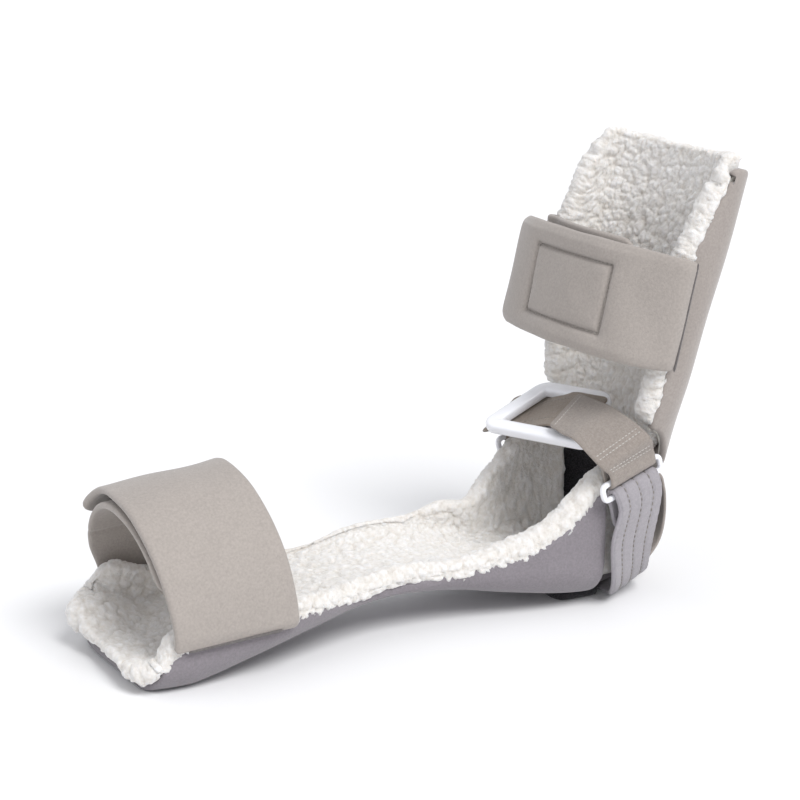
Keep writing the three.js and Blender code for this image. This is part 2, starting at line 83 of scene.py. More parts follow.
def along(stations):
    """A smooth curve through (position, value) stations, flat at both ends."""
    at, value = np.array(stations, float).T
    slope = np.zeros_like(at)
    slope[1:-1] = (value[2:] - value[:-2]) / (at[2:] - at[:-2])

    def curve(x):
        x = np.clip(np.asarray(x, float), at[0], at[-1])
        i = np.clip(np.searchsorted(at, x), 1, len(at) - 1)
        span = at[i] - at[i - 1]
        t = (x - at[i - 1]) / span
        straight = value[i - 1] * (1 + 2 * t) * (1 - t) ** 2 + value[i] * t * t * (3 - 2 * t)
        return straight + span * t * (1 - t) * (slope[i - 1] * (1 - t) - slope[i] * t)

    return curve


def catmull(points, u):
    """Centripetal Catmull-Rom curve through points, at the shares u from 0 to 1."""
    points = np.asarray(points, float)
    last = len(points) - 1
    place = np.asarray(u, float) * last
    i = np.minimum(place.astype(int), last - 1)
    w = (place - i)[..., None]
    padded = np.vstack([2 * points[0] - points[1], points, 2 * points[-1] - points[-2]])
    p0, p1, p2, p3 = (padded[i + k] for k in range(4))
    d0, d1, d2 = (np.sqrt(np.linalg.norm(b - a, axis=-1, keepdims=True))
                  for a, b in ((p0, p1), (p1, p2), (p2, p3)))
    d1 = np.where(d1 < 1e-4, 1, d1)
    d0 = np.where(d0 < 1e-4, d1, d0)
    d2 = np.where(d2 < 1e-4, d1, d2)
    m1 = ((p1 - p0) / d0 - (p2 - p0) / (d0 + d1) + (p2 - p1) / d1) * d1
    m2 = ((p2 - p1) / d1 - (p3 - p1) / (d1 + d2) + (p3 - p2) / d2) * d1
    return (p1 + m1 * w + (3 * (p2 - p1) - 2 * m1 - m2) * w ** 2
            + (2 * (p1 - p2) + m1 + m2) * w ** 3)


# ---- calf and foot troughs
UP = np.array([-math.sin(LEAN), 0, math.cos(LEAN)])
FORWARD = np.array([math.cos(LEAN), 0, math.sin(LEAN)])
calf_half_width = along([(-10, 45), (49, 54), (108, 60), (170, 62.5)])
calf_depth = along([(-10, 31), (35, 28), (85, 27), (170, 29.5)])
calf_rim = along([(0, 5), (49, 8), (102, 14), (130, 8.5), (162, 1)])
sole_height = along([(14, 8.6), (28, 6.1), (42, 5.4), (56, 5.4), (72, 7.2), (98, 12), (138, 19),
                     (165, 21), (193, 19), (218, 15.3), (240, 11), (260, 6.4), (276, 2.4),
                     (290, 0)])
foot_half_width = along([(9, 34), (30, 40), (50, 44), (72, 43), (95, 39), (125, 33.5),
                         (160, 31.5), (190, 35), (215, 42), (240, 47.5), (265, 49), (296, 49),
                         (311, 47)])
wall_top = along([(48, 69), (58, 62), (72, 48), (92, 37), (115, 32),
                  (150, 28), (190, 27.5), (215, 29.5), (240, 29), (265, 27), (290, 25),
                  (301, 17.5), (311, 9)])
foot_corner = along([(9, 12), (48, 20), (75, 19), (115, 12), (160, 9), (240, 15), (311, 15)])


def ridge(y):
    """How far the shell and the liner rise over the stay."""
    return RIDGE * (1 - smooth(np.abs(y), STAY_HALF_WIDTH + 5, 30))


def calf_point(height, ahead, y):
    height, ahead, y = np.broadcast_arrays(height, ahead, np.asarray(y, float))
    sideways = np.array([0, 1.0, 0])
    return (CALF_FOOT + height[..., None] * UP + ahead[..., None] * FORWARD
            + y[..., None] * sideways)


def calf_face(u, v, inset, top=CALF_TOP, low=CALF_LOW, side=CALF_LOW_SIDE, beyond=0.0,
              corner=18, over_stay=True):
    """A layer of the calf trough, u up the calf and v across it."""
    across = 2 * v - 1
    reach = np.abs(across)
    lower = low + (side - low) * smooth(reach, 0.25, 0.9)
    upper = top - corner * (1 - np.sqrt(1 - 0.96 * smooth(reach, 0.75, 1) ** 2))
    height = lower + (upper - lower) * u
    angle = np.minimum(reach / ROUND_SHARE, 1) * math.pi / 2
    y = np.sign(across) * (calf_half_width(height) - inset) * np.sin(angle)
    depth = calf_depth(height) - inset - (ridge(y) if over_stay else 0)
    past = np.maximum(reach - ROUND_SHARE, 0) / (1 - ROUND_SHARE)
    return calf_point(height, (calf_rim(height) + beyond) * past - depth * np.cos(angle), y)


def foot_face(u, v, inset, rear=FOOT_REAR, wall_rear=EAR_X, front=FOOT_FRONT, beyond=0.0,
              over_stay=True, side_inset=None):
    """A layer of the foot trough, u towards the toes and v across it."""
    across = 1 - 2 * v
    reach = np.abs(across)
    start = rear + (wall_rear - rear) * smooth(reach, 0.3, 0.5)
    x = start + (front - 10 * smooth(reach, 0.45, 1) - start) * u
    side = inset if side_inset is None else side_inset(x)
    radius = np.maximum(foot_corner(x) - side, 3)
    flat = foot_half_width(x) - side - radius
    rise = np.maximum(wall_top(x) + beyond - sole_height(x) - inset, 1.6)
    turn = np.arccos(1 - np.minimum((rise - 0.8) / radius, 1))
    angle = turn * np.clip((reach - SOLE_SHARE) / CORNER_SHARE, 0, 1)
    wall = np.maximum(reach - SOLE_SHARE - CORNER_SHARE, 0) / (1 - SOLE_SHARE - CORNER_SHARE)
    climb = (rise - radius * (1 - np.cos(turn))) * wall
    y = flat * np.minimum(reach / SOLE_SHARE, 1) + radius * np.sin(angle)
    base = inset + (ridge(y) if over_stay else 0)
    z = sole_height(x) + base + radius * (1 - np.cos(angle)) + climb
    return np.stack([x, np.sign(across) * y, z], axis=-1)


# ---- mesh building
def make_piece(name, verts, quads, material, body, replaces=(), marks=None):
    """A shown piece from points in millimetres. marks are extra facts for its material."""
    verts = (np.asarray(verts, float) - [PAD_X, 0, 0]) * MM
    mesh = bpy.data.meshes.new(name)
    mesh.from_pydata(verts.tolist(), [], [list(dict.fromkeys(q)) for q in quads.tolist()])
    for mark, values in (marks or {}).items():
        kind = "FLOAT" if values.ndim == 1 else "FLOAT_VECTOR"
        layer = mesh.attributes.new(mark, kind, "POINT")
        layer.data.foreach_set("value" if kind == "FLOAT" else "vector", values.ravel())
    mesh.shade_smooth()
    mesh.materials.append(material)
    piece = bpy.data.objects.new(name, mesh)
    bpy.context.collection.objects.link(piece)
    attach(piece, body)
    if replaces:
        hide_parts(*replaces)
    return piece


def vertex_normals(verts, quads):
    corners = verts[quads]
    face = np.cross(corners[:, 2] - corners[:, 0], corners[:, 3] - corners[:, 1])
    total = np.zeros_like(verts)
    for k in range(4):
        np.add.at(total, quads[:, k], face)
    return unit(total)


def face_out(verts, quads):
    corners = verts[quads]
    volume = np.einsum("ij,ij->i", corners[:, 0], np.cross(corners[:, 1], corners[:, 2])) \
        + np.einsum("ij,ij->i", corners[:, 0], np.cross(corners[:, 2], corners[:, 3]))
    return quads if volume.sum() > 0 else quads[:, ::-1]


def grid_quads(rows, columns, first=0):
    start = (np.arange(rows - 1)[:, None] * columns + np.arange(columns - 1)).ravel() + first
    return np.stack([start, start + 1, start + columns + 1, start + columns], axis=1)


def slab(outer, inner, bulge=1.0, rows=4, corner=1.0):
    """A closed sheet between two grids of points, with a rounded nose all round its edge."""
    nu, nv = outer.shape[:2]
    count = nu * nv
    ring = [(i, 0) for i in range(nu)] + [(nu - 1, j) for j in range(1, nv)] \
        + [(i, nv - 1) for i in range(nu - 2, -1, -1)] + [(0, j) for j in range(nv - 2, 0, -1)]
    i, j = np.array(ring).T
    edge_out, edge_in = outer[i, j], inner[i, j]
    middle, half = (edge_out + edge_in) / 2, (edge_in - edge_out) / 2
    ahead = np.roll(middle, -1, axis=0) - np.roll(middle, 1, axis=0)
    away = unit(np.cross(ahead, half))
    within = (outer + inner)[np.clip(i, 1, nu - 2), np.clip(j, 1, nv - 2)] / 2
    away *= np.sign(np.einsum("ij,ij->i", away, middle - within))[:, None]
    near = np.minimum(i, nu - 1 - i) / nu + np.minimum(j, nv - 1 - j) / nv
    away *= (corner + (1 - corner) * smooth(near, 0.0, 0.03))[:, None]
    thick = np.linalg.norm(half, axis=1, keepdims=True)
    noses = []
    for k in range(1, rows + 1):
        turn = math.pi * k / (rows + 1)
        noses.append(middle - half * math.cos(turn) + away * thick * math.sin(turn) * bulge)
    verts = np.vstack([outer.reshape(-1, 3), inner.reshape(-1, 3), *noses])
    border = i * nv + j
    loops = [border, *(2 * count + k * len(ring) + np.arange(len(ring)) for k in range(rows)),
             border + count]
    strips = [np.stack([a, np.roll(a, -1), np.roll(b, -1), b], axis=1)
              for a, b in zip(loops, loops[1:])]
    top = grid_quads(nu, nv)
    low = grid_quads(nu, nv, count)[:, ::-1]
    join = np.vstack(strips)
    # The strips' winding is matched to the top face's along their shared edge.
    shared = {(q[k], q[(k + 1) % 4]) for q in top.tolist() for k in range(4)}
    if (join[0][0], join[0][1]) in shared:
        join = join[:, ::-1]
    quads = np.vstack([top, low, join])
    return verts, face_out(verts, quads)


def grid(nu, nv):
    return np.meshgrid(np.linspace(0, 1, nu), np.linspace(0, 1, nv), indexing="ij")


# ---- noise
def hashed(cell, salt):
    mixed = cell @ np.array([127.1, 311.7, 74.7]) + salt * 19.19
    return np.modf(np.abs(np.sin(mixed) * 43758.5453))[0]


def cells(points, size):
    """Nearest two of a set of scattered centres: both distances and the nearest one's tag."""
    home = np.floor(points / size)
    best = np.full(len(points), 1e9)
    second = best.copy()
    tag = np.zeros(len(points))
    for step in itertools.product((-1, 0, 1), repeat=3):
        cell = home + step
        jitter = np.stack([hashed(cell, salt) for salt in (1, 2, 3)], axis=1)
        gap = np.linalg.norm(points - (cell + jitter) * size, axis=1)
        closer = gap < best
        second = np.where(closer, best, np.minimum(second, gap))
        tag = np.where(closer, hashed(cell, 4), tag)
        best = np.where(closer, gap, best)
    return best, second, tag


def domes(points, size):
    """Rounded tufts of about this size: 1 on top of a tuft, 0 in the creases."""
    best, second, tag = cells(points, size)
    round_top = np.sqrt(np.clip(1 - (best / (0.82 * size)) ** 2, 0, 1))
    crease = 1 - np.exp(-(second - best) / (0.16 * size))
    return round_top * (0.45 + 0.55 * crease) * (0.7 + 0.3 * tag)


def waves(points, size, salt=0.0):
    """Slow smooth undulation between -1 and 1."""
    turned = points / size
    return (np.sin(turned[:, 0] * 1.7 + turned[:, 1] * 1.1 + salt)
            + np.sin(turned[:, 1] * 1.9 - turned[:, 2] * 1.3 + salt * 2.1)
            + np.sin(turned[:, 2] * 1.6 + turned[:, 0] * 0.9 + salt * 0.7)) / 3


# ---- materials
class Nodes:
    """Short names for building a material's nodes."""

    def __init__(self, name):
        self.material = bpy.data.materials.new(name)
        self.material.use_nodes = True
        self.tree = self.material.node_tree
        self.shader = self.tree.nodes["Principled BSDF"]
        self.coords = self.tree.nodes.new("ShaderNodeTexCoord").outputs["Object"]

    def node(self, kind, **values):
        made = self.tree.nodes.new(kind)
        for key, value in values.items():
            if key in made.inputs:
                made.inputs[key].default_value = value
            else:
                setattr(made, key, value)
        return made

    def link(self, source, target):
        self.tree.links.new(source, target)

    def noise(self, scale, detail=3.0, where=None):
        made = self.node("ShaderNodeTexNoise", Scale=scale, Detail=detail)
        self.link(where or self.coords, made.inputs["Vector"])
        return made.outputs["Fac"]

    def ramp(self, fac, stops):
        made = self.node("ShaderNodeValToRGB")
        ramp = made.color_ramp
        while len(ramp.elements) < len(stops):
            ramp.elements.new(0.5)
        for element, (place, colour) in zip(ramp.elements, stops):
            element.position = place
            element.color = (*colour, 1)
        self.link(fac, made.inputs["Fac"])
        return made.outputs["Color"]

    def math(self, operation, a, b):
        made = self.node("ShaderNodeMath", operation=operation)
        for socket, value in zip(made.inputs, (a, b)):
            if isinstance(value, (int, float)):
                socket.default_value = value
            else:
                self.link(value, socket)
        return made.outputs["Value"]

    def colour(self, source):
        self.link(source, self.shader.inputs["Base Color"])

    def bump(self, height, distance, strength=1.0, after=None):
        made = self.node("ShaderNodeBump", Distance=distance, Strength=strength)
        self.link(height, made.inputs["Height"])
        if after:
            self.link(after, made.inputs["Normal"])
        self.link(made.outputs["Normal"], self.shader.inputs["Normal"])
        return made.outputs["Normal"]

    def finish(self, **values):
        for key, value in values.items():
            self.shader.inputs[key.replace("_", " ")].default_value = value
        return self.material


def fabric(name, light, dark, grain=0.00025):
    """Brushed, foam-backed knit: fine mottled nap with a fine bumpy grain."""
    n = Nodes(name)
    nap = n.noise(820, 4)
    mottle = n.math("ADD", n.math("MULTIPLY", nap, 0.85), n.math("MULTIPLY", n.noise(70, 3), 0.15))
    n.colour(n.ramp(mottle, [(0.34, dark), (0.66, light)]))
    first = n.bump(n.noise(420, 5), grain, 0.5)
    n.bump(n.noise(1500, 3), grain, 0.9, first)
    return n.finish(Roughness=0.93, Sheen_Weight=0.35, Sheen_Roughness=0.45,
                    Specular_IOR_Level=0.15)


def fleece_material():
    """Cream curly pile. Its colour darkens where the tuft mark is low, in the creases between tufts
    and over pressed-flat pile: painted shade.
    """
    n = Nodes("curly_fleece")
    tuft = n.node("ShaderNodeAttribute", attribute_name="tuft").outputs["Fac"]
    fac = n.math("ADD", n.math("MULTIPLY", tuft, 0.5), n.math("MULTIPLY", n.noise(620, 5), 0.5))
    n.colour(n.ramp(fac, [(0.2, (0.60, 0.555, 0.505)), (0.42, (0.71, 0.68, 0.64)),
                          (0.66, (0.79, 0.775, 0.765))]))
    first = n.bump(n.noise(560, 5), 0.0011, 0.7)
    n.bump(n.noise(1700, 4), 0.0004, 0.7, first)
    return n.finish(Roughness=1.0, Sheen_Weight=0.4, Sheen_Roughness=0.6,
                    Specular_IOR_Level=0.1, Subsurface_Weight=0.6,
                    Subsurface_Radius=(1.0, 0.92, 0.85), Subsurface_Scale=0.0025)


def woven(name, light, dark, pitch=1.0):
    """Webbing: fine ribs across the strap, broken by the warp threads. weave is in mm."""
    n = Nodes(name)
    where = n.node("ShaderNodeAttribute", attribute_name="weave").outputs["Vector"]
    rib = n.node("ShaderNodeTexWave", Scale=1.0 / pitch, Distortion=0.6, Detail=1.0,
                 wave_type="BANDS", bands_direction="X")
    warp = n.node("ShaderNodeTexWave", Scale=0.62 / pitch, Distortion=0.9, Detail=1.0,
                  wave_type="BANDS", bands_direction="Y")
    for wave in (rib, warp):
        wave.inputs["Detail Scale"].default_value = 2.0
        n.link(where, wave.inputs["Vector"])
    thread = n.math("MULTIPLY", rib.outputs["Fac"], warp.outputs["Fac"])
    shade = n.math("ADD", n.math("MULTIPLY", thread, 0.4), n.math("MULTIPLY", n.noise(760, 4), 0.6))
    n.colour(n.ramp(shade, [(0.25, dark), (0.62, light)]))
    first = n.bump(thread, 0.0004, 0.7)
    n.bump(n.noise(1300, 3), 0.0002, 0.8, first)
    return n.finish(Roughness=0.85, Sheen_Weight=0.3, Specular_IOR_Level=0.2)


def glossy_plastic(name, colour):
    n = Nodes(name)
    n.colour(n.ramp(n.noise(60, 2), [(0.3, tuple(0.96 * c for c in colour)), (0.7, colour)]))
    n.bump(n.noise(260, 2), 0.00006, 0.35)
    return n.finish(Roughness=0.24, Subsurface_Weight=0.2,
                    Subsurface_Radius=(0.003, 0.003, 0.003), Subsurface_Scale=0.4,
                    Coat_Weight=0.25, Coat_Roughness=0.12)


def dull_plastic(name, colour):
    n = Nodes(name)
    n.colour(n.ramp(n.noise(120, 3), [(0.3, tuple(0.9 * c for c in colour)), (0.7, colour)]))
    n.bump(n.noise(900, 3), 0.0001, 0.4)
    return n.finish(Roughness=0.55)


def brushed_metal():
    n = Nodes("bendable_aluminium")
    stretch = n.node("ShaderNodeMapping")
    stretch.inputs["Scale"].default_value = (40, 2200, 40)
    n.link(n.coords, stretch.inputs["Vector"])
    streak = n.noise(1.0, 4, stretch.outputs["Vector"])
    n.colour(n.ramp(streak, [(0.3, (0.56, 0.57, 0.58)), (0.7, (0.74, 0.75, 0.76))]))
    n.bump(streak, 0.00005, 0.5)
    return n.finish(Metallic=1.0, Roughness=0.38)


def bristly(name, colour, scale=900.0):
    """Hook tape or open foam: a dark face with a fine raised grain."""
    n = Nodes(name)
    grain = n.node("ShaderNodeTexVoronoi", Scale=scale)
    n.link(n.coords, grain.inputs["Vector"])
    dark = tuple(0.35 * c for c in colour)
    n.colour(n.ramp(grain.outputs["Distance"], [(0.1, colour), (0.7, dark)]))
    first = n.bump(grain.outputs["Distance"], 0.0006, 0.8)
    n.bump(n.noise(500, 4), 0.0004, 0.7, first)
    return n.finish(Roughness=0.95, Sheen_Weight=0.2, Specular_IOR_Level=0.25)


COVER = fabric("calf_cover_fabric", (0.368, 0.329, 0.303), (0.312, 0.279, 0.26))
FOOT = fabric("foot_cover_fabric", (0.252, 0.231, 0.249), (0.207, 0.189, 0.205))
STRAP_FABRIC = fabric("strap_fabric", (0.392, 0.353, 0.325), (0.332, 0.300, 0.276))
QUILT = woven("quilted_fabric", (0.44, 0.415, 0.44), (0.34, 0.32, 0.345), 1.3)
# The far instep strap's webbing is the loop webbing made darker: painted shade.
SHADED_WEB = woven("window_webbing_shaded", (0.37, 0.305, 0.25), (0.23, 0.188, 0.152), 1.15)
WEB = woven("loop_webbing", (0.43, 0.375, 0.335), (0.28, 0.243, 0.217), 1.15)
THREAD = fabric("thread", (0.33, 0.31, 0.28), (0.24, 0.22, 0.20), 0.0001)
PALE_THREAD = fabric("pale_thread", (0.62, 0.60, 0.57), (0.50, 0.48, 0.46), 0.0001)
SEAM = fabric("seam_binding", (0.16, 0.148, 0.145), (0.11, 0.10, 0.10), 0.0001)
FLEECE = fleece_material()
WHITE = glossy_plastic("white_plastic", (0.86, 0.865, 0.90))
SHELL_PLASTIC = dull_plastic("shell_plastic", (0.78, 0.76, 0.70))
METAL = brushed_metal()
HOOK = bristly("hook_tape", (0.075, 0.07, 0.08))
BLACK = bristly("black_foam", (0.055, 0.053, 0.06), 1500.0)


# ---- covers
def cover_slab(face, nu, nv, **shape):
    u, v = grid(nu, nv)
    return slab(face(u, v, 0.0, over_stay=False, **shape), face(u, v, COVER_DEPTH, **shape),
                rows=6)


def soften(verts, quads, size, amount, salt=0.0):
    """Slight hand-made unevenness of a padded surface."""
    return verts + vertex_normals(verts, quads) * (waves(verts, size, salt) * amount)[:, None]


verts, quads = cover_slab(calf_face, 100, 120, top=CALF_TOP - 2.4, low=CALF_LOW + 2.4,
                          side=CALF_LOW_SIDE + 2.4, beyond=-2.4)
make_piece("calf_cover_soft", soften(verts, quads, 14, 0.35), quads, COVER, "splint",
           ["calf_cover"])
verts, quads = cover_slab(foot_face, 210, 95, rear=FOOT_REAR + 2.4, wall_rear=EAR_X + 2.4,
                          front=FOOT_FRONT - 2.4, beyond=-2.4)
make_piece("foot_cover_soft", soften(verts, quads, 16, 0.3, 2.0), quads, FOOT, "splint",
           ["foot_cover"])


# ---- fleece
PILE = 2.9                       # height of a lock above the hollows
BACKING = LINER_OUTER + 0.4      # depth of the liner's back face
PILE_ROOT = LINER_OUTER + LINER - 1.8
CALF_OVERHANG = 5.5
NEAR_OVERHANG, FAR_OVERHANG = 6.0, 3.0


def locks(points):
    """Curly pile height, 0 to 1: locks of three sizes, the larger two swirled."""
    swirl = np.stack([waves(points, size, salt)
                      for size, salt in ((3.1, 0.4), (2.7, 1.9), (2.9, 3.3))], axis=1)
    bent = points + 1.1 * swirl
    return 0.52 * domes(bent, 5.2) + 0.3 * domes(bent + 40, 2.9) + 0.18 * domes(points + 90, 2.0)


def fleece_piece(name, outer, inner, node, rolled, pressed):
    """A fleece slab. Its inner face and its rolled rims grow pile, its hidden back stays flat.

    rolled is the share of pile on each point of the outer face, and pressed, which takes
    points, is how far the pile lies flat there.
    """
    verts, quads = slab(outer, inner, bulge=0.7, rows=9, corner=0.3)
    weight = np.ones(len(verts))
    weight[:rolled.size] = 0.05 + 0.95 * rolled.reshape(-1)
    reach_u, reach_v = (np.abs(2 * share - 1) for share in grid(*rolled.shape))
    corner = 1 - 0.8 * (smooth(reach_u, 0.88, 0.97) * smooth(reach_v, 0.86, 0.96)).reshape(-1)
    weight[:2 * rolled.size] *= np.tile(corner, 2)
    flat = pressed(verts)
    pile = locks(verts)
    height = (PILE * pile - 1.0) * (1 - 0.8 * flat) + 0.6 * waves(verts, 8, 1.0) - 0.4 * flat
    verts = verts + vertex_normals(verts, quads) * (height * weight)[:, None]
    # The tuft mark is low in the creases and where the pile is pressed flat; the fleece material
    # darkens it there as painted shade.
    return make_piece(name, verts, quads, FLEECE, "splint", [node],
                      {"tuft": pile * (1 - 0.45 * flat)})


def lining_wall(x):
    """The share of the liner's thickness on the wall at x, less where the wall is low."""
    return smooth(wall_top(x) - sole_height(x), 9, 24)


def liner_lift(points, share=1.0):
    """The liner rises on the far side, over the waist and at the toe end."""
    x, y = points[..., 0], points[..., 1]
    rise = smooth(-y, 8, 34) * (13 * smooth(x, 272, 306)
                                + 11 * smooth(x, 84, 110) * (1 - smooth(x, 150, 200))
                                + 5 * smooth(x, 40, 50) * (1 - smooth(x, 70, 90)))
    return points + np.stack([0 * x, 0 * x, rise * share], axis=-1)


def foot_over(points):
    """How far a point of the liner's outer face is past the cover's rim, 0 to 1."""
    x, y, z = points[..., 0], points[..., 1], points[..., 2]
    ragged = 1.1 * np.sin(x * 0.55) + 0.8 * np.sin(x * 1.27 + 1.0) + 0.5 * np.sin(x * 2.3)
    return smooth(z - wall_top(x) + ragged, -4.5, -0.5) * smooth(np.abs(y), 18, 26)


def foot_roll(points):
    """Above the wall the pile rolls outwards over the cover's rim."""
    side = np.sign(points[..., 1]) * foot_over(points)
    return points + np.stack([0 * side, np.where(side < 0, FAR_OVERHANG, NEAR_OVERHANG) * side,
                              -1.5 * np.abs(side)], axis=-1)


def calf_over(v):
    """How far a point across the calf liner is past the cover's rims, 0 to 1."""
    return smooth(np.abs(2 * v - 1), 0.91, 0.96)


def calf_roll(points, v):
    """Past the rims the pile rolls outwards over the cover's edge."""
    side = np.sign(v - 0.5) * calf_over(v)
    return points + np.stack([0 * side, CALF_OVERHANG * side, 0 * side], axis=-1)


def far_press(points):
    """The pile lies flatter along the far wall of the waist."""
    x, y = points[:, 0], points[:, 1]
    return smooth(-y, 24, 30) * smooth(x, 80, 96) * (1 - smooth(x, 215, 235))


u, v = grid(205, 225)
shape = dict(top=LINER_TOP - 2.5, low=CALF_LOW + 10, side=CALF_LOW_SIDE + 6, beyond=1.5)
fleece_piece("calf_fleece", calf_roll(calf_face(u, v, BACKING, **shape), v),
             calf_face(u, v, PILE_ROOT, over_stay=False, **shape), "calf_liner",
             calf_over(v), lambda points: np.zeros(len(points)))
u, v = grid(300, 150)
shape = dict(rear=54, wall_rear=30, front=315, beyond=4.0)
back_face = foot_face(u, v, BACKING, **shape)
pile_face = foot_face(u, v, PILE_ROOT, over_stay=False, **shape,
                      side_inset=lambda x: LINER_OUTER + (LINER - 1.8) * lining_wall(x))
fleece_piece("foot_fleece", liner_lift(foot_roll(back_face), foot_over(back_face)),
             liner_lift(pile_face), "foot_liner", foot_over(back_face), far_press)


# ---- straps
class Ribbon:
    """A strap's middle surface, addressed in millimetres along and across it."""

    def __init__(self, edge_a, edge_b, out):
        self.edges = np.asarray(edge_a, float), np.asarray(edge_b, float)
        self.out = out
        self.share = np.linspace(0, 1, 400)
        a, b = (catmull(edge, self.share) for edge in self.edges)
        middle = (a + b) / 2
        self.run = np.concatenate([[0], np.cumsum(np.linalg.norm(np.diff(middle, axis=0),
                                                                 axis=1))])
        self.length = self.run[-1]
        self.wide = np.linalg.norm(a - b, axis=1)

    def at(self, s, t):
        u = np.interp(s, self.run, self.share)
        a, b = (catmull(edge, u) for edge in self.edges)
        share = 0.5 + t / np.interp(s, self.run, self.wide)
        return a + (b - a) * share[..., None]

    def normal(self, s, t, step=0.4):
        ds = self.at(np.minimum(s + step, self.length), t) - self.at(np.maximum(s - step, 0), t)
        dt = self.at(s, t + step) - self.at(s, t - step)
        return unit(np.cross(ds, dt)) * self.out

    def lifted(self, s, t, height):
        return self.at(s, t) + self.normal(s, t) * np.asarray(height)[..., None]


def along_band(stations, width, out):
    centres = [np.asarray(station[0], float) for station in stations]
    crosses = catmull([station[1] for station in stations], np.linspace(0, 1, len(stations)))
    reach = unit(crosses) * width / 2
    return Ribbon(np.array(centres) - reach, np.array(centres) + reach, out)


def strap_outline(ribbon, half, width, corners, step, margin=(0.0, 0.0)):
    """Rows and columns, in millimetres, that fill a strap with rounded end corners."""
    first, last = half + margin[0], ribbon.length - half - margin[1]
    rows = max(int((last - first) / step), 8)
    s = np.linspace(first, last, rows)
    ends = 6
    early = first + (s[3] - first) * (1 - np.cos(np.linspace(0, math.pi / 2, ends)))
    late = last - (early - first)[::-1]
    s = np.concatenate([early, s[4:-4], late])
    reach = np.full_like(s, width / 2 - half)
    for radius, gap in ((corners[0], s - first), (corners[1], last - s)):
        if radius:
            near = np.clip(radius - gap, 0, radius)
            reach = np.minimum(reach, width / 2 - half - radius + np.sqrt(radius ** 2 - near ** 2))
    t = np.linspace(-1, 1, max(int(width / step), 8))
    return np.broadcast_to(s[:, None], (len(s), len(t))), reach[:, None] * t[None, :]


def strap_piece(name, ribbon, width, thick, look, body, nodes=(), corners=(0, 0), step=1.0,
                relief=None, under=None, margin=(0.0, 0.0), weave=False, rows=5):
    half = thick / 2
    s, t = strap_outline(ribbon, half, width, corners, step, margin)
    over = half + (relief(s, t) if relief else 0)
    below = half + (under(s, t) if under else 0)
    outer = ribbon.lifted(s, t, over * np.ones_like(s))
    inner = ribbon.lifted(s, t, -below * np.ones_like(s))
    verts, quads = slab(outer, inner, rows=rows)
    marks = None
    if weave:
        flat = np.stack([s, t, np.zeros_like(s)], axis=-1).reshape(-1, 3)
        nose = (len(verts) - 2 * len(flat)) // rows
        edge = np.zeros((nose * rows, 3))
        edge[:, 0] = np.tile(np.linspace(0, 2 * ribbon.length, nose), rows)
        marks = {"weave": np.vstack([flat, flat, edge])}
    return make_piece(name, verts, quads, look, body, nodes, marks)


def stitch_row(ribbon, start, end, height, pitch=2.6, length=1.7, radius=0.32):
    """A row of short threads lying on a strap from (s, t) to (s, t)."""
    start, end = np.array(start, float), np.array(end, float)
    span = np.linalg.norm(end - start)
    count = max(int(span / pitch), 1)
    parts, faces = [], []
    sides, rings = 6, 5
    for k in range(count):
        middle = start + (end - start) * (k + 0.5) / count
        ways = np.linspace(-0.5, 0.5, rings)[:, None] * (end - start) / span * length
        place = middle + ways
        arch = np.cos(np.linspace(-math.pi / 2, math.pi / 2, rings))
        centre = ribbon.lifted(place[:, 0], place[:, 1], height + 0.16 * arch - 0.1)
        axis = unit(centre[-1] - centre[0])
        lift = ribbon.normal(*(np.array([c]) for c in middle))[0]
        side = unit(np.cross(axis, lift))
        lift = np.cross(side, axis)
        size = radius * (0.45 + 0.55 * arch)
        turn = np.linspace(0, 2 * math.pi, sides, endpoint=False)
        ring = np.cos(turn)[:, None] * side + np.sin(turn)[:, None] * lift
        base = sum(len(p) for p in parts)
        parts.append((centre[:, None] + ring[None] * size[:, None, None]).reshape(-1, 3))
        index = np.arange(rings * sides).reshape(rings, sides) + base
        faces.append(np.stack([index[:-1], index[1:], np.roll(index[1:], -1, axis=1),
                               np.roll(index[:-1], -1, axis=1)], axis=-1).reshape(-1, 4))
        for loop in (index[0], index[-1][::-1]):
            faces.append(np.array([[loop[0], loop[1], loop[2], loop[3]],
                                   [loop[0], loop[3], loop[4], loop[5]]]))
    return np.vstack(parts), np.vstack(faces)


def stitches(name, rows, look, body):
    """One piece from many rows of stitches."""
    parts, faces, base = [], [], 0
    for points, quads in rows:
        parts.append(points)
        faces.append(quads + base)
        base += len(points)
    return make_piece(name, np.vstack(parts), np.vstack(faces), look, body)


def groove(distance, wide, deep):
    return -deep * np.exp(-(distance / wide) ** 2)


def box_distance(s, t, s0, s1, t0, t1):
    """Distance to the outline of a sewn rectangle."""
    ds = np.maximum(np.maximum(s0 - s, s - s1), 0)
    dt = np.maximum(np.maximum(t0 - t, t - t1), 0)
    outside = np.hypot(ds, dt)
    inside = np.minimum(np.minimum(s - s0, s1 - s), np.minimum(t - t0, t1 - t))
    return np.where(outside > 0, outside, np.maximum(inside, 0))


def seam_taper(s):
    """A sewn end is pressed thin where it meets the cover."""
    return 1.9 * (1 - smooth(s, 0, 7))


